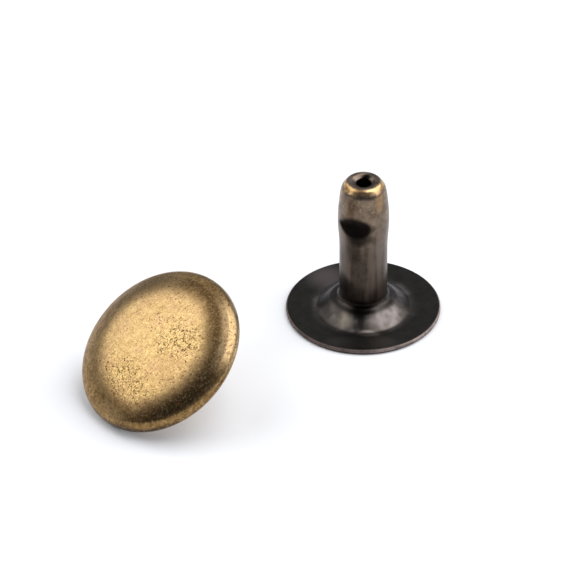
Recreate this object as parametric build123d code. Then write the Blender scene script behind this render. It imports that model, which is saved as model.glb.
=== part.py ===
from build123d import *
import math
import os

# A two-part hollow rivet of antique brass, its cap taken off its post. Millimetres, +Z up.
# The post stands on its flange, with the middle of the flange's underside at the origin.
# The cap lies beside it, tilted: it rests on the edge of its rim and on the end of its own stem.
# Every piece is drawn or pressed from thin sheet, so each is a section of even thickness, revolved.

# Post: one piece of sheet drawn up into a tube, with a flange, a domed ring and a dished, pierced tip.
# Drops and the dish's depth are measured down from the rim of the tip.
post_height = 8.18  # underside of the flange to the rim of the tip, before it is rounded
post_sheet = 0.28
post_edge_round = 0.12
flange_diameter = 7.9
boss_foot_reach = 1.145  # from the tube out to the foot of the domed ring it grows out of
boss_shoulder_reach = 0.445
boss_rise = 0.57
boss_crown = 0.14  # further rise from the ring's shoulder to the tube
boss_foot_fillet = 0.4
boss_shoulder_fillet = 0.5
tube_foot_fillet = 0.32
tube_diameter = 2.45
neck_drop = 3.83  # rim down to where the straight tube starts to swell into the head
head_swell = 0.12  # how far the head stands out beyond the tube, on the radius
head_drop = 2.26  # rim down to the head's widest place
head_fillet = 9.0
tip_shoulder_inset = 0.135  # insets are measured in from the head's widest radius
tip_shoulder_drop = 0.88
tip_shoulder_fillet = 0.9
tip_bend_inset = 0.215
tip_bend_drop = 0.46
tip_bend_fillet = 0.5
tip_rim_inset = 0.545  # to the rim round the dished end, before it is rounded
tip_rim_fillet = 0.30
tip_dish_depth = 0.21
tip_hole_inset = 1.005

# Pinch: a V-shaped dent in each side of the head, where the cap's stem snaps on.
pinch_depth = 0.35
pinch_opening = 1.0  # height of the V at the head's surface
pinch_nose_round = 0.07
pinch_heading = -111.0  # degrees from +X, seen from above

# Cap shell: a shallow dome of sheet whose rim is folded under.
cap_diameter = 9.0
shell_sheet = 0.30
shell_edge_round = 0.08
crown_radius = 15.0
face_diameter = 4.8  # where the crown gives way to the shoulder
shoulder_steepness = 30.0  # degrees of slope where the shoulder turns into the rim
rim_radius = 0.58
rim_wall = 0.05
hem_bend = 0.34  # outside radius of the fold under the rim
hem_width = 0.42  # flat of the folded edge

# Cap socket: an eyelet whose flange is held in the folded rim and whose stem takes the post's head.
socket_sheet = 0.25
socket_edge_round = 0.07
socket_edge_clearance = 0.12  # flange edge to the shell's wall, on the radius
head_clearance = 0.03  # post head to stem bore, on the radius
stem_length = 2.04  # below the underside of the rim
stem_root_fillet = 0.32
mouth_closing = 0.07  # how far the stem's end is closed in, on the radius
mouth_length = 0.5
mouth_fillet = 1.0

# Where the cap lies. Headings are degrees from +X, seen from above.
cap_gap = 4.06  # centre of the flange to centre of the rim, beyond their two radii
cap_bearing = -143.8  # from the post to the cap
cap_heading = -145.2  # the way the cap leans down

flange_radius = flange_diameter / 2
tube_radius = tube_diameter / 2
head_radius = tube_radius + head_swell
head_height = post_height - head_drop
cap_radius = cap_diameter / 2


def sheet_section(skin, thickness, edge_round, meets_axis=False):
    """A strip of even thickness on the left of a skin line, its cut edges rounded.

    A line that ends on the axis is cut only where it starts.
    """
    section = make_face(skin.offset_2d(thickness, side=Side.LEFT, closed=True))
    edge_corners = []
    for end in [0] if meets_axis else [0, 1]:
        along = skin % end
        edge = skin @ end
        edge_corners += [edge, edge + Vector(-along.Y, along.X) * thickness]
    rounded = [section.vertices().sort_by_distance(corner)[0] for corner in edge_corners]
    return fillet(rounded, edge_round)


def turned(section):
    """Revolve a section drawn as radius and height about the Z axis."""
    return revolve(Plane.XZ * section, Axis.Z)


def post_skin():
    """The outside of the post, from the flange's edge up the tube and over its dished end to the hole."""
    ring_height = post_sheet + boss_rise
    corner_fillets = {
        (flange_radius, post_sheet): None,
        (tube_radius + boss_foot_reach, post_sheet): boss_foot_fillet,
        (tube_radius + boss_shoulder_reach, ring_height): boss_shoulder_fillet,
        (tube_radius, ring_height + boss_crown): tube_foot_fillet,
        (tube_radius, post_height - neck_drop): head_fillet,
        (head_radius, head_height): head_fillet,
        (head_radius - tip_shoulder_inset, post_height - tip_shoulder_drop): tip_shoulder_fillet,
        (head_radius - tip_bend_inset, post_height - tip_bend_drop): tip_bend_fillet,
        (head_radius - tip_rim_inset, post_height): tip_rim_fillet,
        (head_radius - tip_hole_inset, post_height - tip_dish_depth): None,
    }
    return FilletPolyline(*corner_fillets, radius=[r for r in corner_fillets.values() if r])


def pinch(grown=0.0):
    """The V-shaped bar that dents the head on the side of its heading, or one grown on all sides."""
    nose = (head_radius - pinch_depth, 0)
    back = head_radius + pinch_depth  # twice as deep as the dent, so twice as high
    bar = make_face(Polyline((back, pinch_opening), nose, (back, -pinch_opening), close=True))
    bar = fillet(bar.vertices().sort_by(Axis.X)[0], pinch_nose_round)
    if grown:
        bar = offset(bar, grown)
    bar = extrude(Plane.XZ * bar, 2 * head_radius, both=True)
    return Rotation(0, 0, pinch_heading) * Pos(0, 0, head_height) * bar


def make_post():
    """The revolved post with both dents pressed in, each with sheet of full thickness behind it."""
    post = turned(sheet_section(post_skin(), post_sheet, post_edge_round))
    inside = Pos(0, 0, head_height) * Cylinder(head_radius - post_sheet / 2, 2 * head_radius)
    for half_turn in (0, 180):
        side = Rotation(0, 0, half_turn)
        dented_wall = side * pinch(grown=post_sheet) & inside
        post = post + dented_wall - side * pinch()
    return post


def shell_skin():
    """The outside of the cap shell, from the folded edge round the rim to the middle of the face."""
    face_radius = face_diameter / 2
    face_slope = math.asin(face_radius / crown_radius)
    rim_slope = math.radians(shoulder_steepness)
    shoulder_run = cap_radius - rim_radius * (1 - math.sin(rim_slope)) - face_radius
    shoulder_radius = shoulder_run / (math.sin(rim_slope) - math.sin(face_slope))
    face_arc = math.degrees(face_slope)
    hem_end = cap_radius - hem_bend
    hem = Line((hem_end - hem_width, 0), (hem_end, 0))
    fold = JernArc(hem @ 1, hem % 1, hem_bend, 90)
    wall = Line(fold @ 1, fold @ 1 + Vector(0, rim_wall))
    rim = JernArc(wall @ 1, wall % 1, rim_radius, 90 - shoulder_steepness)
    shoulder = JernArc(rim @ 1, rim % 1, shoulder_radius, shoulder_steepness - face_arc)
    crown_centre = (shoulder @ 1).Y - crown_radius * math.cos(face_slope)
    crown = CenterArc((0, crown_centre), crown_radius, 90 - face_arc, face_arc)
    return Wire([hem, fold, wall, rim, shoulder, crown])


def socket_skin():
    """The outside of the eyelet, from the stem's mouth up its side and out under the flange."""
    stem_radius = head_radius + head_clearance + socket_sheet
    flange_edge = cap_radius - shell_sheet - socket_edge_clearance
    return FilletPolyline(
        (stem_radius - mouth_closing, -stem_length),
        (stem_radius, mouth_length - stem_length),
        (stem_radius, shell_sheet),
        (flange_edge, shell_sheet),
        radius=[mouth_fillet, stem_root_fillet],
    )


def resting_lean():
    """Angle at which the cap rests on its rim and its stem's end, and the rim's height at its centre."""
    skin = socket_skin()
    along = skin % 0
    stem_corner = skin @ 0 + (along + Vector(-along.Y, along.X)) * socket_edge_round
    rim_corner = Vector(cap_radius - hem_bend, hem_bend)
    span = rim_corner - stem_corner
    lean = math.atan2(span.Y, span.X) - math.asin((hem_bend - socket_edge_round) / span.length)
    return lean, rim_corner.X * math.sin(lean) - rim_corner.Y * math.cos(lean) + hem_bend


def laid_down(piece):
    """Move a cap piece from its own upright frame to where the cap lies beside the post."""
    lean, height = resting_lean()
    bearing = math.radians(cap_bearing)
    heading = math.radians(cap_heading)
    reach = flange_radius + cap_gap + cap_radius
    downhill = Vector(math.cos(heading), math.sin(heading), 0)
    up = Vector(0, 0, 1)
    place = Plane(
        origin=(reach * math.cos(bearing), reach * math.sin(bearing), height),
        x_dir=downhill * math.cos(lean) - up * math.sin(lean),
        z_dir=downhill * math.sin(lean) + up * math.cos(lean),
    )
    return place.location * piece


shell = turned(sheet_section(shell_skin(), shell_sheet, shell_edge_round, meets_axis=True))
socket = turned(sheet_section(socket_skin(), socket_sheet, socket_edge_round))

parts = {
    "post": make_post(),
    "cap_shell": laid_down(shell),
    "cap_socket": laid_down(socket),
}

os.makedirs("parts", exist_ok=True)
for name, solid in parts.items():
    export_step(solid, f"parts/{name}.step")
    print(f"{name}: {solid.volume:.3f} mm3")
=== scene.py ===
import math

import bmesh
import bpy
import numpy as np
from mathutils import Matrix, Vector


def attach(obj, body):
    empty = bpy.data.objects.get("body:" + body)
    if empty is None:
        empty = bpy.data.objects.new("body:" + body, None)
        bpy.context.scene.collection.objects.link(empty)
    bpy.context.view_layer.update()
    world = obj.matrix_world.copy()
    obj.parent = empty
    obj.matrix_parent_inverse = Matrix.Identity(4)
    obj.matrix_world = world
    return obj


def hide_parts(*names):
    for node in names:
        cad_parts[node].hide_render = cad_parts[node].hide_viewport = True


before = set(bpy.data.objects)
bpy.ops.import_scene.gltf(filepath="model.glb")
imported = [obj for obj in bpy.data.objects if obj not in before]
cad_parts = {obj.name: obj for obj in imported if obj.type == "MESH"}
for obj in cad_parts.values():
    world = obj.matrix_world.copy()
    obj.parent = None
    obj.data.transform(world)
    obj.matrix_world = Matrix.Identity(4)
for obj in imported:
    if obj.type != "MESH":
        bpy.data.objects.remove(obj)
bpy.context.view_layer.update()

MM = 0.001  # profiles are drawn in millimetres and the scene is in metres
TURNS = 320  # facets round each revolved piece
ARC_STEP = math.radians(7.0)  # longest turn between two points of an arc
ON_AXIS = 1e-6  # a smaller radius, in millimetres, is a point on the axis
SAME_PLACE = 1e-5
QUARTER = math.pi / 2


# ---------------------------------------------------------------- profiles

def line_points(start, end, step):
    """Points along a straight stretch with its direction, both ends included."""
    start, end = Vector(start), Vector(end)
    along = (end - start).normalized()
    count = max(1, math.ceil((end - start).length / step))
    return [(start.lerp(end, i / count), along) for i in range(count + 1)]


def arc_points(centre, radius, first, last, step=1.0, count=None):
    """Points along an arc between two angles in radians, each with its direction of travel."""
    turn = abs(last - first)
    count = count or max(2, math.ceil(turn / ARC_STEP), math.ceil(turn * radius / step))
    way = 1 if last > first else -1
    found = []
    for i in range(count + 1):
        a = first + (last - first) * i / count
        out = Vector((math.cos(a), math.sin(a)))
        found.append((Vector(centre) + out * radius, Vector((-out.y, out.x)) * way))
    return found


def rounded_line(corners, step):
    """Points and directions along a line through corners (x, y, fillet radius)."""
    found = []
    here = Vector(corners[0][:2])
    for i in range(1, len(corners) - 1):
        corner, radius = Vector(corners[i][:2]), corners[i][2]
        before = (corner - Vector(corners[i - 1][:2])).normalized()
        after = (Vector(corners[i + 1][:2]) - corner).normalized()
        turn = math.atan2(before.x * after.y - before.y * after.x, before.dot(after))
        reach = radius * math.tan(abs(turn) / 2)
        side = 1 if turn > 0 else -1
        enter = corner - before * reach
        centre = enter + Vector((-before.y, before.x)) * radius * side
        found += line_points(here, enter, step)
        first = math.atan2(*(enter - centre).yx)
        found += arc_points(centre, radius, first, first + turn, step)[1:-1]
        here = corner + after * reach
    return found + line_points(here, corners[-1][:2], step)


def cut_edge(point, into, left, thickness, edge_round):
    """A cut edge of sheet from its far face to its skin, both corners rounded.

    into is the way from the cut into the sheet, and left the way from the skin to the far face.
    """
    steps = 4  # to each corner; the two flat points between lie at depths 0.7 and 0.3
    found = []
    for start_depth, centre_depth in ((1.0, thickness - edge_round), (0.0, edge_round)):
        centre = point + left * centre_depth
        for i in range(1, steps):
            a = QUARTER * (i / steps if start_depth else 1 - i / steps)
            out = -into * math.sin(a) + left * math.cos(a) * (1 if start_depth else -1)
            found.append((centre + out * edge_round, start_depth))
        if start_depth:
            found.append((centre - into * edge_round, 0.7))
        else:
            found.insert(len(found) - steps + 1, (centre - into * edge_round, 0.3))
    return found


def sheet_loop(skin, thickness, edge_round, meets_axis=False):
    """A closed outline of sheet: the skin, its cut edges rounded, and its offset to the left.

    Gives each point and how deep it is in the sheet, from 0 on the skin to 1 on the far face.
    A skin that ends on the axis is cut only where it starts.
    """
    outer = [(p, 0.0) for p, _ in skin]
    inner = [(p + Vector((-t.y, t.x)) * thickness, 1.0) for p, t in reversed(skin)]
    p, t = skin[0]
    start_edge = cut_edge(p, t, Vector((-t.y, t.x)), thickness, edge_round)
    if meets_axis:
        return outer + inner + start_edge
    p, t = skin[-1]
    end_edge = cut_edge(p, -t, Vector((-t.y, t.x)), thickness, edge_round)
    return outer + end_edge[::-1] + inner + start_edge


def without_repeats(loop):
    """The loop without points that fall on the one before them."""
    kept = [loop[0]]
    for item in loop[1:]:
        if (item[0] - kept[-1][0]).length > SAME_PLACE:
            kept.append(item)
    if (kept[0][0] - kept[-1][0]).length < SAME_PLACE:
        kept.pop()
    return kept


def faces_between(rows):
    """Faces from each ring of vertices to the next, three-sided where a ring is one point."""
    faces = []
    for k in range(len(rows)):
        a, b = rows[k], rows[(k + 1) % len(rows)]
        if a[0] == a[1] and b[0] == b[1]:
            continue
        for m in range(TURNS):
            n = (m + 1) % TURNS
            faces.append(list(dict.fromkeys([a[m], b[m], b[n], a[n]])))
    return faces


def turned_mesh(name, loop, reshape, place=None):
    """Revolve a closed outline of (radius, height) points about Z, reshape it and place it.

    The attribute local_mm keeps each vertex as turned, for the materials.
    """
    loop = without_repeats(loop)
    radius = np.array([p.x for p, _ in loop])
    height = np.array([p.y for p, _ in loop])
    depth = np.array([d for _, d in loop])
    angle = np.arange(TURNS) * 2 * math.pi / TURNS
    turned = np.empty((len(loop), TURNS, 3))
    turned[..., 0] = radius[:, None] * np.cos(angle)
    turned[..., 1] = radius[:, None] * np.sin(angle)
    turned[..., 2] = height[:, None]
    shaped = reshape(turned, depth[:, None]) if reshape else turned
    rows, verts, own, count = [], [], [], 0
    for k in range(len(loop)):
        size = 1 if radius[k] < ON_AXIS else TURNS
        own.append(turned[k, :size])
        verts.append(shaped[k, :size])
        rows.append([count] * TURNS if size == 1 else list(range(count, count + TURNS)))
        count += size
    verts = np.concatenate(verts) * MM
    if place is not None:
        verts = verts @ np.array(place.to_3x3()).T + np.array(place.translation)
    mesh = bpy.data.meshes.new(name)
    mesh.from_pydata(verts.tolist(), [], faces_between(rows))
    local = mesh.attributes.new("local_mm", "FLOAT_VECTOR", "POINT")
    local.data.foreach_set("vector", np.concatenate(own).astype(np.float32).ravel())
    facing = bmesh.new()
    facing.from_mesh(mesh)
    bmesh.ops.recalc_face_normals(facing, faces=facing.faces)
    facing.to_mesh(mesh)
    facing.free()
    mesh.polygons.foreach_set("use_smooth", [True] * len(mesh.polygons))
    piece = bpy.data.objects.new(name, mesh)
    bpy.context.scene.collection.objects.link(piece)
    return piece


# ---------------------------------------------------------------- post

FLANGE_RADIUS = 3.95
POST_HEIGHT = 8.18
POST_SHEET = 0.28
POST_EDGE = 0.12
TUBE_RADIUS = 1.225
HEAD_RADIUS = 1.345
HEAD_HEIGHT = 5.92
TIP_RIM_RADIUS = 0.80
TIP_HOLE_RADIUS = 0.34
TIP_DISH_DEPTH = 0.21
PINCH_DEPTH = 0.35
PINCH_HALF_OPENING = 0.5
PINCH_HEADING = math.radians(-111.0)
PINCH_LIP = 0.045  # softness of the dent's lips
PINCH_NOSE = 0.05  # softness of its floor
PINCH_REACH = 1.2  # height above and below its middle that the press can touch


def post_outline():
    """The post's sheet, its skin drawn from the flange's edge up to the hole in its tip."""
    rim = Vector((TIP_RIM_RADIUS, POST_HEIGHT))
    hole = Vector((TIP_HOLE_RADIUS, POST_HEIGHT - TIP_DISH_DEPTH))
    hole -= (hole - rim).normalized() * POST_EDGE
    corners = [
        (FLANGE_RADIUS - POST_EDGE, POST_SHEET, 0),
        (2.37, POST_SHEET, 0.4),  # the ring's foot, shoulder and top
        (1.67, 0.85, 0.5),
        (TUBE_RADIUS, 0.99, 0.32),
        (TUBE_RADIUS, 4.35, 9.0),  # the neck, where the tube starts to swell
        (HEAD_RADIUS, HEAD_HEIGHT, 9.0),
        (1.21, POST_HEIGHT - 0.88, 0.9),  # the head's shoulder and its bend to the tip
        (1.13, POST_HEIGHT - 0.46, 0.5),
        (rim.x, rim.y, 0.30),
        (hole.x, hole.y, 0),
    ]
    return sheet_loop(rounded_line(corners, 0.05), POST_SHEET, POST_EDGE)


def smooth_min(a, b, soft):
    """The smaller of two, blended over about the width soft."""
    h = np.clip(0.5 + 0.5 * (b - a) / soft, 0, 1)
    return b * (1 - h) + a * h - soft * h * (1 - h)


def press_dents(xyz, depth):
    """Push both sides of the head in to a V-shaped floor, the sheet keeping its thickness."""
    x, y, z = xyz[..., 0], xyz[..., 1], xyz[..., 2]
    c, s = math.cos(PINCH_HEADING), math.sin(PINCH_HEADING)
    out, across = x * c + y * s, -x * s + y * c
    rise = np.sqrt((z - HEAD_HEIGHT) ** 2 + PINCH_NOSE ** 2) - PINCH_NOSE
    floor = HEAD_RADIUS - PINCH_DEPTH + rise * PINCH_DEPTH / PINCH_HALF_OPENING
    floor = floor - depth * POST_SHEET
    near = np.abs(z - HEAD_HEIGHT) < PINCH_REACH
    pressed = smooth_min(np.abs(out), floor, PINCH_LIP)
    out = np.where(near, np.sign(out) * pressed, out)
    xyz = xyz.copy()
    xyz[..., 0] = out * c - across * s
    xyz[..., 1] = out * s + across * c
    return xyz


post = turned_mesh("post_body", post_outline(), press_dents)
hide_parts("post")
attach(post, "root")


# ---------------------------------------------------------------- cap

CAP_RADIUS = 4.5
SHELL_SHEET = 0.30
SHELL_EDGE = 0.08
FACE_RADIUS = 2.4
CROWN_RADIUS = 15.0
RIM_RADIUS = 0.58
RIM_SLOPE = math.radians(30)
RIM_WALL = 0.05
HEM_BEND = 0.34
HEM_WIDTH = 0.42
SOCKET_SHEET = 0.25
SOCKET_EDGE = 0.07
SOCKET_CLEARANCE = 0.12
STEM_RADIUS = HEAD_RADIUS + 0.03 + SOCKET_SHEET  # clear of the post's head by 0.03
STEM_LENGTH = 2.04
MOUTH_CLOSING = 0.07
MOUTH_LENGTH = 0.5
CAP_GAP = 4.06
CAP_HEADING = math.radians(-145.2)
CAP_BEARING = math.radians(-143.8)
CREASE_DEPTH = 0.035
CREASE_HEIGHT = 0.40
CREASE_WIDTH = 0.055
CREASE_MIDDLE = math.radians(103)
CREASE_FADE = 2.6  # how fast it fades on the way round
CREASE_INNER = 4.3  # it lies only on the wall outside this radius


def shell_outline():
    """The shell's sheet, its skin drawn from the folded edge round the rim to the middle."""
    face_slope = math.asin(FACE_RADIUS / CROWN_RADIUS)
    run = CAP_RADIUS - RIM_RADIUS * (1 - math.sin(RIM_SLOPE)) - FACE_RADIUS
    shoulder_radius = run / (math.sin(RIM_SLOPE) - math.sin(face_slope))
    hem_end = CAP_RADIUS - HEM_BEND
    wall_top = HEM_BEND + RIM_WALL
    fine = 0.02
    skin = line_points((hem_end - HEM_WIDTH + SHELL_EDGE, 0), (hem_end, 0), 0.08)
    skin += arc_points((hem_end, HEM_BEND), HEM_BEND, -QUARTER, 0, fine)[1:]
    skin += line_points((CAP_RADIUS, HEM_BEND), (CAP_RADIUS, wall_top), fine)[1:-1]
    rim_centre = (CAP_RADIUS - RIM_RADIUS, wall_top)
    skin += arc_points(rim_centre, RIM_RADIUS, 0, QUARTER - RIM_SLOPE, fine)
    outward = Vector((math.sin(RIM_SLOPE), math.cos(RIM_SLOPE)))
    centre = skin[-1][0] - outward * shoulder_radius
    ends = QUARTER - RIM_SLOPE, QUARTER - face_slope
    skin += arc_points(centre, shoulder_radius, *ends, count=22)[1:]
    centre = (0, skin[-1][0].y - CROWN_RADIUS * math.cos(face_slope))
    skin += arc_points(centre, CROWN_RADIUS, QUARTER - face_slope, QUARTER, count=24)[1:]
    return sheet_loop(skin, SHELL_SHEET, SHELL_EDGE, meets_axis=True)


def socket_outline():
    """The eyelet's sheet, its skin drawn from the stem's mouth up and out under its flange."""
    mouth = Vector((STEM_RADIUS - MOUTH_CLOSING, -STEM_LENGTH))
    above = Vector((STEM_RADIUS, -STEM_LENGTH + MOUTH_LENGTH))
    mouth += (above - mouth).normalized() * SOCKET_EDGE
    corners = [
        (mouth.x, mouth.y, 0),
        (above.x, above.y, 1.0),
        (STEM_RADIUS, SHELL_SHEET, 0.32),
        (CAP_RADIUS - SHELL_SHEET - SOCKET_CLEARANCE - SOCKET_EDGE, SHELL_SHEET, 0),
    ]
    return sheet_loop(rounded_line(corners, 0.15), SOCKET_SHEET, SOCKET_EDGE)


def cap_place():
    """Where the cap lies: on the edge of its rim and on the end of its stem."""
    along = Vector((MOUTH_CLOSING, MOUTH_LENGTH)).normalized()
    corner = Vector((STEM_RADIUS - MOUTH_CLOSING, -STEM_LENGTH))
    corner += (along + Vector((-along.y, along.x))) * SOCKET_EDGE
    rim = Vector((CAP_RADIUS - HEM_BEND, HEM_BEND))
    span = rim - corner
    lean = math.atan2(span.y, span.x) - math.asin((HEM_BEND - SOCKET_EDGE) / span.length)
    height = rim.x * math.sin(lean) - rim.y * math.cos(lean) + HEM_BEND
    reach = FLANGE_RADIUS + CAP_GAP + CAP_RADIUS
    downhill = Vector((math.cos(CAP_HEADING), math.sin(CAP_HEADING), 0))
    up = Vector((0, 0, 1))
    x = downhill * math.cos(lean) - up * math.sin(lean)
    z = downhill * math.sin(lean) + up * math.cos(lean)
    place = Matrix((x, z.cross(x), z)).transposed().to_4x4()
    middle = (reach * math.cos(CAP_BEARING), reach * math.sin(CAP_BEARING), height)
    place.translation = Vector(middle) * MM
    return place


def fold_line(xyz, depth):
    """A fine crease part of the way round, where the rim turns into the fold."""
    x, y, z = xyz[..., 0], xyz[..., 1], xyz[..., 2]
    angle = np.arctan2(y, x)
    away = np.clip((angle - CREASE_MIDDLE) * CREASE_FADE, -math.pi, math.pi)
    dip = CREASE_DEPTH * np.exp(-(((z - CREASE_HEIGHT) / CREASE_WIDTH) ** 2))
    on_wall = (depth < 0.5) * (np.hypot(x, y) > CREASE_INNER)
    dip = dip * (0.5 + 0.5 * np.cos(away)) * on_wall
    xyz = xyz.copy()
    xyz[..., 0] -= dip * np.cos(angle)
    xyz[..., 1] -= dip * np.sin(angle)
    return xyz


shell = turned_mesh("cap_dome", shell_outline(), fold_line, cap_place())
socket = turned_mesh("cap_eyelet", socket_outline(), None, cap_place())
for piece, node in ((shell, "cap_shell"), (socket, "cap_socket")):
    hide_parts(node)
    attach(piece, "root")


# ---------------------------------------------------------------- materials

BUMP_DISTANCE = 0.00001  # metres


class Graph:
    """A material's nodes, built by short calls. Places are in millimetres, as turned."""

    def __init__(self, name):
        self.material = bpy.data.materials.new(name)
        self.material.use_nodes = True
        self.nodes = self.material.node_tree.nodes
        self.links = self.material.node_tree.links
        self.shader = self.nodes["Principled BSDF"]
        own = self.nodes.new("ShaderNodeAttribute")
        own.attribute_name = "local_mm"
        self.here = own.outputs["Vector"]
        split = self.nodes.new("ShaderNodeSeparateXYZ")
        self.links.new(self.here, split.inputs[0])
        self.x, self.y, self.z = split.outputs
        self.radius = self.length(self.x, self.y)

    def plug(self, value, socket):
        if isinstance(value, bpy.types.NodeSocket):
            self.links.new(value, socket)
        else:
            socket.default_value = value

    def vector(self, operation, a, b=None):
        node = self.nodes.new("ShaderNodeVectorMath")
        node.operation = operation
        self.plug(a, node.inputs[0])
        if b is not None:
            self.plug(b, node.inputs[1])
        return node.outputs["Value" if operation in ("LENGTH", "DOT_PRODUCT") else "Vector"]

    def math(self, operation, a, b=0.0):
        node = self.nodes.new("ShaderNodeMath")
        node.operation = operation
        self.plug(a, node.inputs[0])
        self.plug(b, node.inputs[1])
        return node.outputs[0]

    def add(self, a, b):
        return self.math("ADD", a, b)

    def less(self, a, b):
        return self.math("SUBTRACT", a, b)

    def times(self, a, b):
        return self.math("MULTIPLY", a, b)

    def length(self, a, b):
        return self.math("POWER", self.add(self.times(a, a), self.times(b, b)), 0.5)

    def toward(self, x, y):
        """How far a place lies toward a direction from the axis: 1 toward it, 0 across it."""
        flat = self.vector("MULTIPLY", self.here, (1.0, 1.0, 0.0))
        return self.vector("DOT_PRODUCT", self.vector("NORMALIZE", flat), (x, y, 0.0))

    def ramp(self, value, low, high, out_low=0.0, out_high=1.0):
        """A smooth step from out_low to out_high as the value goes from low to high."""
        node = self.nodes.new("ShaderNodeMapRange")
        node.interpolation_type = "SMOOTHSTEP"
        self.plug(value, node.inputs["Value"])
        names = ("From Min", "From Max", "To Min", "To Max")
        for name, number in zip(names, (low, high, out_low, out_high)):
            node.inputs[name].default_value = number
        return node.outputs["Result"]

    def noise(self, scale, detail, roughness=0.5, shift=None, stretch=None, distortion=0.0):
        node = self.nodes.new("ShaderNodeTexNoise")
        at = self.here
        if shift:
            at = self.vector("ADD", at, shift)
        if stretch:
            at = self.vector("MULTIPLY", at, stretch)
        self.links.new(at, node.inputs["Vector"])
        node.inputs["Scale"].default_value = scale
        node.inputs["Detail"].default_value = detail
        node.inputs["Roughness"].default_value = roughness
        node.inputs["Distortion"].default_value = distortion
        return node.outputs[0]

    def wobble(self, amount, scale, detail, roughness=0.5):
        """Noise about zero, times an amount."""
        return self.times(self.add(self.noise(scale, detail, roughness), -0.5), amount)

    def spot(self, centre, reach, strength, uneven=0.0):
        """A soft mask round a point, half faded at the reach given for each axis."""
        away = self.vector("SUBTRACT", self.here, centre)
        distance = self.vector("LENGTH", self.vector("DIVIDE", away, reach))
        if uneven:
            distance = self.add(distance, self.wobble(uneven, 4.0, 3.0, 0.6))
        return self.ramp(distance, 1.5, 0.5, 0.0, strength)

    def mix(self, factor, a, b):
        node = self.nodes.new("ShaderNodeMix")
        node.data_type = "RGBA"
        self.plug(factor, node.inputs["Factor"])
        sockets = [s for s in node.inputs if s.type == "RGBA"]
        for value, socket in zip((a, b), sockets):
            self.plug((*value, 1.0) if isinstance(value, tuple) else value, socket)
        return [s for s in node.outputs if s.type == "RGBA"][0]

    def spotted(self, colour, *marks):
        """Soft spots over a colour, each a centre, reach, strength, unevenness and tone."""
        for centre, reach, strength, uneven, tone in marks:
            colour = self.mix(self.spot(centre, reach, strength, uneven), colour, tone)
        return colour

    def finish(self, colour, roughness, height, bump_strength):
        bump = self.nodes.new("ShaderNodeBump")
        bump.inputs["Strength"].default_value = bump_strength
        bump.inputs["Distance"].default_value = BUMP_DISTANCE
        self.links.new(height, bump.inputs["Height"])
        self.links.new(colour, self.shader.inputs["Base Color"])
        self.links.new(roughness, self.shader.inputs["Roughness"])
        self.links.new(bump.outputs[0], self.shader.inputs["Normal"])
        self.shader.inputs["Metallic"].default_value = 1.0
        return self.material


def brass_rim(g, mottle, shaded_side):
    """The cap's dark shoulder and rim: painted shade, darkest on one side, and beside it the
    rim's crest, partly rubbed and partly a painted highlight.
    """
    shadow = (0.105, 0.057, 0.019)
    rim = g.mix(g.ramp(mottle, 0.38, 0.62), (0.42, 0.260, 0.100), (0.235, 0.137, 0.045))
    # painted shade on the shoulder and rim: toward one side, on the far side, and darkest on the
    # shaded side
    shade = g.times(g.ramp(g.toward(-0.8, 0.6), -0.2, 0.7), g.ramp(g.radius, 4.05, 3.80))
    rim = g.mix(g.times(shade, 0.78), rim, shadow)
    far_shade = g.times(g.ramp(g.toward(-0.95, 0.31), 0.90, 1.0), g.ramp(g.radius, 3.2, 3.6))
    rim = g.mix(g.times(far_shade, 0.30), rim, shadow)
    rim = g.mix(g.ramp(shaded_side, 0.0, 0.6, 0.0, 0.35), rim, (0.122, 0.069, 0.026))
    darkest_shade = g.times(g.ramp(shaded_side, 0.55, 0.95), g.ramp(g.radius, 4.40, 4.18))
    rim = g.mix(g.times(darkest_shade, 0.90), rim, (0.032, 0.018, 0.007))
    # a painted highlight, pale, on one side of the rim
    pale_highlight = g.ramp(g.toward(-0.67, -0.74), 0.82, 1.0, 0.0, 0.55)
    rim = g.mix(pale_highlight, rim, (0.56, 0.37, 0.17))
    # the rim's crest, partly rubbed bright and partly a painted highlight
    painted_sheen = g.times(g.ramp(g.toward(-0.71, 0.71), 0.80, 0.99), g.ramp(g.radius, 3.75, 4.08))
    rim = g.mix(g.times(painted_sheen, 0.80), rim, (0.46, 0.32, 0.165))
    # a painted highlight on the rim, and painted shade beside it
    rim = g.spotted(
        rim,
        ((4.0, 0.8, 0.8), (0.45, 0.8, 1.0), 0.5, 0.3, (0.50, 0.33, 0.15)),
        ((4.2, 1.70, 0.5), (0.42, 0.70, 0.5), 0.88, 0.4, (0.130, 0.080, 0.034)),
    )
    # the fold is darkened where the cap leans down: a painted contact shadow
    hem_shadow = g.times(g.ramp(g.z, 0.62, 0.42), g.ramp(g.toward(0.85, 0.53), 0.78, 0.96))
    return g.mix(g.times(hem_shadow, 0.85), rim, (0.045, 0.027, 0.012))


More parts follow.
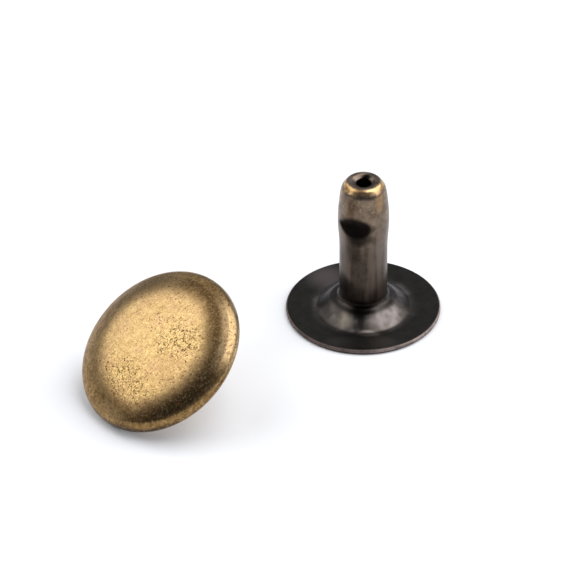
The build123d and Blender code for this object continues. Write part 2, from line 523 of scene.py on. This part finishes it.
def antique_brass():
    """The cap: a face rubbed bright, a dark rim with painted shade and highlights, grain and two
    crowds of specks.
    """
    g = Graph("antique_brass")
    mottle = g.noise(3.0, 6.0, 0.72)
    fine = g.noise(8.0, 3.0, 0.7)
    grain = g.noise(11.0, 2.0, 0.6)
    # the side of the shoulder and rim that carries painted shade
    shaded_side = g.toward(0.33, 0.94)
    # the face ends in an uneven line, further in on the side with painted shade
    reach = g.add(g.radius, g.wobble(1.0, 0.45, 2.0))
    reach = g.add(reach, g.ramp(shaded_side, 0.35, 0.8, 0.0, -0.24))
    reach = g.add(reach, g.ramp(g.toward(0.67, -0.74), 0.7, 1.0, 0.0, -0.14))
    reach = g.add(reach, g.ramp(g.toward(-0.98, -0.20), 0.85, 1.0, 0.0, 0.10))
    beyond_face = g.ramp(reach, 2.65, 3.75)
    face = g.mix(g.ramp(mottle, 0.38, 0.66), (0.66, 0.455, 0.200), (0.50, 0.322, 0.128))
    ruddy = g.ramp(g.noise(0.8, 3.0, 0.6), 0.42, 0.62, 0.0, 0.5)
    face = g.mix(ruddy, face, (0.60, 0.370, 0.190))
    colour = g.mix(beyond_face, face, brass_rim(g, mottle, shaded_side))
    # grain: darker between the crystals, and on the dark rim bright where they catch the light
    colour = g.mix(g.ramp(grain, 0.48, 0.66, 0.0, 0.50), colour, (0.22, 0.125, 0.048))
    colour = g.mix(g.ramp(fine, 0.44, 0.28, 0.0, 0.30), colour, (0.85, 0.60, 0.26))
    sand = g.noise(8.0, 5.0, 0.85, shift=(9.0, 2.0, 17.0))
    bright = g.times(g.ramp(sand, 0.50, 0.30), g.times(beyond_face, 0.60))
    colour = g.mix(bright, colour, (0.60, 0.43, 0.23))
    dark = g.times(g.ramp(sand, 0.48, 0.66), g.times(beyond_face, 0.80))
    colour = g.mix(dark, colour, (0.060, 0.034, 0.014))
    # specks, crowded in two patches of the face, thin elsewhere, none below the rim
    away_one = g.length(g.add(g.x, -2.3), g.times(g.add(g.y, -0.5), 0.50))
    away_two = g.length(g.add(g.x, 0.9), g.times(g.add(g.y, -1.5), 0.75))
    patch_one = g.ramp(away_one, 1.7, 0.3, 0.0, 1.25)
    patch_two = g.ramp(away_two, 1.6, 0.3, 0.0, 1.3)
    crowd = g.times(g.math("MAXIMUM", patch_one, patch_two), g.ramp(g.z, 0.55, 0.75))
    crowd = g.add(crowd, g.wobble(2.8, 1.6, 2.0))
    limit = g.add(g.times(crowd, -0.065), 0.615)
    specks = g.noise(8.2, 3.0, 0.65, shift=(31.0, 7.0, 3.0), distortion=1.2)
    pits = g.ramp(g.less(specks, limit), 0.0, 0.05)
    colour = g.mix(g.times(pits, 0.95), colour, (0.095, 0.036, 0.009))
    colour = g.mix(g.times(patch_one, 0.20), colour, (0.36, 0.19, 0.075))
    tan = ((0.7, 2.2, 1.3), (1.1, 1.0, 1.0), 0.28, 0.6, (0.34, 0.19, 0.08))
    colour = g.spotted(colour, tan)
    yellow = g.noise(9.0, 2.0, 0.6, shift=(5.0, 19.0, 11.0))
    glints = g.times(g.ramp(g.less(yellow, limit), 0.0, 0.05), g.ramp(beyond_face, 0.5, 0.1))
    colour = g.mix(g.times(glints, 0.5), colour, (0.95, 0.70, 0.26))
    roughness = g.add(g.add(g.times(mottle, 0.14), 0.25), g.times(pits, 0.25))
    height = g.less(g.add(g.times(grain, 0.5), g.times(fine, 0.6)), pits)
    return g.finish(colour, roughness, height, 0.40)


def flange_and_ring(g, mottle):
    """The flat of the post, nearly black, and the ring on it with painted highlights and painted
    shade in patches.
    """
    cloud = g.noise(1.3, 2.0, 0.5)
    ring = g.mix(g.ramp(cloud, 0.36, 0.62), (0.150, 0.132, 0.124), (0.052, 0.045, 0.039))
    # painted highlights (the light tones) and painted shade (the dark tones) in patches on the
    # ring
    ring = g.spotted(
        ring,
        ((1.12, -1.68, 0.65), (0.92, 0.6, 0.5), 0.92, 0.3, (0.158, 0.137, 0.132)),
        ((-0.88, -1.80, 0.60), (0.50, 0.45, 0.5), 0.90, 0.3, (0.170, 0.148, 0.118)),
        ((-2.02, -0.90, 0.55), (0.46, 1.0, 0.6), 0.90, 0.3, (0.022, 0.019, 0.016)),
        ((-1.65, 0.70, 0.60), (0.50, 0.9, 0.5), 0.80, 0.3, (0.035, 0.030, 0.026)),
        ((1.58, 0.72, 0.60), (0.45, 0.65, 0.5), 0.75, 0.3, (0.210, 0.186, 0.180)),
        ((2.25, -0.30, 0.40), (0.25, 0.9, 0.4), 0.60, 0.3, (0.060, 0.052, 0.046)),
        ((-1.65, -1.75, 0.40), (0.28, 0.4, 0.4), 0.60, 0.3, (0.040, 0.034, 0.028)),
    )
    blotch = g.noise(1.7, 1.5, 0.5, shift=(3.0, 8.0, 1.0))
    ring = g.mix(g.ramp(blotch, 0.40, 0.66, 0.0, 0.6), ring, (0.060, 0.050, 0.042))
    # a painted dark reflection between the ring's two highlights, at its front
    painted_dark_gap = ((-0.12, -1.85, 0.60), (0.15, 0.60, 0.5), 0.85, 0.3, (0.026, 0.022, 0.018))
    ring = g.spotted(ring, painted_dark_gap)
    flange = g.mix(g.ramp(mottle, 0.36, 0.66), (0.028, 0.026, 0.022), (0.020, 0.018, 0.015))
    # a painted sheen on the front of the flange
    front_sheen = ((0.0, -3.2, 0.3), (1.5, 0.6, 0.5), 0.8, 0.0, (0.085, 0.075, 0.066))
    flat = g.mix(g.ramp(g.radius, 2.32, 2.85), ring, g.spotted(flange, front_sheen))
    # a painted highlight at the front of the ring's foot
    foot_highlight = ((0.22, -2.50, 0.3), (0.50, 0.20, 0.4), 0.65, 0.2, (0.28, 0.245, 0.230))
    return g.spotted(flat, foot_highlight)


def flange_edge(g, mottle, colour):
    """The colour with the flange's edge a coppery worn line, with painted highlight and painted
    contact shadow, and a painted sheen on a patch of its top.
    """
    edge = g.times(g.ramp(g.radius, 3.87, 3.91), g.ramp(mottle, 0.30, 0.60, 0.45, 1.0))
    # the edge's coppery worn line is lighter to the right, a painted highlight, and darkened on
    # its lower half, a painted contact shadow
    line = g.mix(g.ramp(g.x, -0.5, 2.0), (0.21, 0.160, 0.145), (0.38, 0.310, 0.285))
    line = g.mix(g.ramp(g.z, 0.14, 0.07), line, (0.030, 0.025, 0.022))
    colour = g.mix(edge, colour, line)
    # a painted sheen on the back left of the flange's top
    away = g.length(g.add(g.x, 1.9), g.add(g.y, -2.5))
    painted_sheen = g.times(g.ramp(away, 1.5, 0.2), g.ramp(g.z, 1.5, 1.2))
    return g.mix(g.times(painted_sheen, 0.7), colour, (0.155, 0.125, 0.120))


def gold_tip(g, mottle, grain, colour):
    """The colour with the tip rubbed to gold where the wall turns over, and its dish dirty."""
    gold = g.mix(g.ramp(mottle, 0.40, 0.62), (0.72, 0.48, 0.23), (0.42, 0.24, 0.09))
    duller = ((0.75, -0.35, 7.95), (0.40, 0.55, 0.3), 0.40, 0.4, (0.36, 0.22, 0.09))
    gold = g.spotted(gold, duller)
    height = g.add(g.z, g.wobble(0.5, 3.0, 3.0, 0.6))
    crest = g.times(g.ramp(height, 7.78, 7.98), g.ramp(g.radius, 0.78, 0.88))
    crest = g.times(crest, g.ramp(g.y, 0.5, -0.2, 0.35, 1.0))
    worn_less = g.spot((-0.05, -1.05, 7.8), (0.30, 0.4, 0.3), -0.45, 0.4)
    colour = g.mix(g.times(crest, g.add(worn_less, 1.0)), colour, gold)
    streak = ((0.80, -0.85, 7.40), (0.20, 0.4, 0.55), 0.65, 0.8, (0.33, 0.20, 0.10))
    colour = g.spotted(colour, streak)
    # flecks and chips down the head, bright and dark
    flecks = g.times(g.ramp(g.z, 6.0, 7.5), g.ramp(grain, 0.58, 0.68))
    colour = g.mix(g.times(flecks, 0.45), colour, (0.50, 0.34, 0.16))
    chips = g.noise(4.5, 3.0, 0.7, shift=(13.0, 4.0, 6.0))
    upper = g.ramp(g.z, 5.6, 6.6)
    bright = g.times(g.ramp(chips, 0.60, 0.70), g.times(upper, 0.55))
    colour = g.mix(bright, colour, (0.46, 0.34, 0.20))
    dark = g.times(g.ramp(chips, 0.40, 0.30), g.times(upper, 0.60))
    colour = g.mix(dark, colour, (0.050, 0.035, 0.024))
    chip = ((-0.45, -0.95, 7.86), (0.15, 0.25, 0.14), 0.5, 0.6, (0.42, 0.28, 0.13))
    colour = g.spotted(colour, chip)
    # the dish is dark, most of all behind the hole, with painted reflections, pale, up its back
    # and left
    colour = g.mix(g.ramp(g.radius, 0.84, 0.76, 0.0, 0.35), colour, (0.03, 0.026, 0.026))
    return g.spotted(
        colour,
        ((0.14, 0.42, 8.0), (0.24, 0.16, 0.4), 1.0, 0.0, (0.006, 0.005, 0.005)),
        ((0.16, 0.80, 8.05), (0.42, 0.14, 0.3), 0.75, 0.3, (0.46, 0.38, 0.32)),
        ((-0.60, 0.12, 8.02), (0.24, 0.35, 0.3), 0.22, 0.3, (0.40, 0.34, 0.30)),
    )


def in_dents(g):
    """A mask of the two pressed dents, faded at the far end of each."""
    c, s = math.cos(PINCH_HEADING), math.sin(PINCH_HEADING)
    out = g.math("ABSOLUTE", g.add(g.times(g.x, c), g.times(g.y, s)))
    rise = g.math("ABSOLUTE", g.add(g.z, -HEAD_HEIGHT))
    slope = PINCH_DEPTH / PINCH_HALF_OPENING
    floor = g.add(g.times(rise, slope), HEAD_RADIUS - PINCH_DEPTH)
    soft = g.wobble(0.12, 5.0, 3.0, 0.6)
    pressed = g.ramp(g.add(g.less(out, floor), soft), -0.25, -0.02)
    pressed = g.times(pressed, g.ramp(rise, 0.95, 0.6))
    across = g.add(g.less(g.times(g.y, c), g.times(g.x, s)), soft)
    return g.times(pressed, g.ramp(across, 0.88, 0.64, 0.35, 1.0))


def dark_brass():
    """The post: blackened flange and tube, a browner head, painted highlights and shade, and a
    tip rubbed to gold.
    """
    g = Graph("dark_brass")
    mottle = g.noise(2.2, 4.0, 0.6)
    grain = g.noise(15.0, 2.0, 0.6)
    drawn = g.noise(1.0, 2.0, 0.5, stretch=(1.7, 1.7, 0.22))
    tube = g.mix(g.ramp(mottle, 0.36, 0.66), (0.068, 0.052, 0.042), (0.044, 0.033, 0.026))
    tube = g.mix(g.ramp(drawn, 0.46, 0.64, 0.0, 0.75), tube, (0.130, 0.100, 0.080))
    head = g.mix(g.ramp(mottle, 0.34, 0.66), (0.230, 0.172, 0.125), (0.135, 0.100, 0.070))
    colour = g.mix(g.ramp(g.z, 0.9, 1.3), flange_and_ring(g, mottle), tube)
    # painted shade where the tube meets the ring, thickest in front
    corner = g.times(g.ramp(g.radius, 1.78, 1.5), g.ramp(g.z, 1.6, 1.1))
    colour = g.mix(g.times(corner, 0.6), colour, (0.012, 0.010, 0.009))
    foot_shade = ((-0.10, -1.48, 0.98), (0.66, 0.45, 0.42), 0.97, 0.5, (0.005, 0.004, 0.003))
    colour = g.spotted(colour, foot_shade)
    colour = g.mix(g.ramp(g.z, 3.6, 6.6, 0.0, 0.9), colour, head)
    # dark streaks below the dent and at the tube's foot, and a painted highlight down the right
    # of the tube
    colour = g.spotted(
        colour,
        ((-0.25, -1.2, 5.30), (0.62, 0.9, 0.42), 0.90, 0.5, (0.010, 0.008, 0.006)),
        ((-0.50, -1.1, 4.60), (0.38, 0.9, 0.95), 0.65, 0.5, (0.014, 0.011, 0.008)),
        ((-1.0, -0.6, 2.15), (0.5, 0.9, 0.55), 0.85, 0.4, (0.010, 0.008, 0.006)),
        ((0.78, -1.0, 4.6), (0.15, 0.5, 1.5), 0.75, 0.3, (0.165, 0.132, 0.110)),
    )
    colour = flange_edge(g, mottle, colour)
    colour = gold_tip(g, mottle, grain, colour)
    # the dents painted near black: painted shade in the recesses
    pressed = in_dents(g)
    colour = g.mix(g.times(pressed, 0.95), colour, (0.010, 0.008, 0.007))
    roughness = g.add(g.add(g.times(mottle, 0.18), 0.24), g.times(pressed, 0.4))
    roughness = g.add(roughness, g.ramp(g.radius, 3.85, 3.90, 0.0, 0.35))
    height = g.add(g.times(grain, 0.4), g.times(drawn, 0.8))
    return g.finish(colour, roughness, height, 0.3)


brass, dark = antique_brass(), dark_brass()
shell.data.materials.append(brass)
socket.data.materials.append(brass)
post.data.materials.append(dark)


# ---------------------------------------------------------------- floor, light and camera

FLOOR_SIZE = 6.0
FLOOR_WHITE = (0.821, 0.824, 0.832, 1)
FLOOR_GLOW = 0.06
ROOM = (0.125, 0.142, 0.185, 1)
LAMPS_AIM = Vector((-0.004, -0.003, 0.002))


def floor_and_world():
    """A pale floor, a little lighter to the camera and in reflections, in a dim plain room."""
    bpy.ops.mesh.primitive_plane_add(size=FLOOR_SIZE)
    floor = bpy.context.object
    floor.name = "floor"
    made = bpy.data.materials.new("floor_white")
    made.use_nodes = True
    nodes, links = made.node_tree.nodes, made.node_tree.links
    nodes.clear()
    path = nodes.new("ShaderNodeLightPath")
    seen = path.outputs["Is Camera Ray"]
    for operation, other in (
        ("MAXIMUM", path.outputs["Is Glossy Ray"]),
        ("MAXIMUM", path.outputs["Is Transmission Ray"]),
        ("MULTIPLY", None),
    ):
        node = nodes.new("ShaderNodeMath")
        node.operation = operation
        links.new(seen, node.inputs[0])
        if other:
            links.new(other, node.inputs[1])
        else:
            node.inputs[1].default_value = FLOOR_GLOW
        seen = node.outputs[0]
    glow = nodes.new("ShaderNodeEmission")
    links.new(seen, glow.inputs["Strength"])
    diffuse = nodes.new("ShaderNodeBsdfDiffuse")
    diffuse.inputs["Color"].default_value = FLOOR_WHITE
    both = nodes.new("ShaderNodeAddShader")
    links.new(diffuse.outputs[0], both.inputs[0])
    links.new(glow.outputs[0], both.inputs[1])
    output = nodes.new("ShaderNodeOutputMaterial")
    links.new(both.outputs[0], output.inputs["Surface"])
    floor.data.materials.append(made)
    world = bpy.data.worlds.new("room")
    bpy.context.scene.world = world
    world.use_nodes = True
    background = world.node_tree.nodes["Background"]
    background.inputs["Color"].default_value = ROOM
    background.inputs["Strength"].default_value = 1.0


def softbox(name, azimuth, elevation, distance, width, height, radiance):
    """An area lamp of a given radiance, seen from the object in a given direction."""
    a, e = math.radians(azimuth), math.radians(elevation)
    towards = Vector((math.cos(a) * math.cos(e), math.sin(a) * math.cos(e), math.sin(e)))
    data = bpy.data.lights.new(name, "AREA")
    data.shape = "RECTANGLE"
    data.size, data.size_y = width, height
    data.energy = radiance * math.pi * width * height
    lamp = bpy.data.objects.new(name, data)
    bpy.context.scene.collection.objects.link(lamp)
    lamp.location = LAMPS_AIM + towards * distance
    lamp.rotation_mode = "QUATERNION"
    lamp.rotation_quaternion = towards.to_track_quat("Z", "Y")
    lamp.visible_camera = False


floor_and_world()
softbox("softbox_left", 167, 44, distance=0.5, width=0.60, height=0.51, radiance=1.65)
softbox("softbox_right", 9, 51.5, distance=0.5, width=0.60, height=0.76, radiance=2.9)
softbox("fill_behind", 90, 35, distance=0.6, width=0.50, height=0.40, radiance=0.45)

ELEVATION = math.radians(36.1)
DISTANCE = 0.84
FRAME_WIDTH = 0.02943  # width of the picture at the object, in metres
CAMERA_AIM = Vector((-0.003843, 0.000512, 0.000982))
back = Vector((0, -math.cos(ELEVATION), math.sin(ELEVATION)))
camera_data = bpy.data.cameras.new("camera")
camera_data.sensor_width = 36.0
camera_data.lens = camera_data.sensor_width * DISTANCE / FRAME_WIDTH
camera_data.clip_start, camera_data.clip_end = 0.01, 20.0
camera = bpy.data.objects.new("camera", camera_data)
bpy.context.scene.collection.objects.link(camera)
camera.location = CAMERA_AIM + back * DISTANCE
camera.rotation_mode = "QUATERNION"
camera.rotation_quaternion = (-back).to_track_quat("-Z", "Y")
bpy.context.scene.camera = camera
bpy.context.scene.view_settings.view_transform = "Standard"
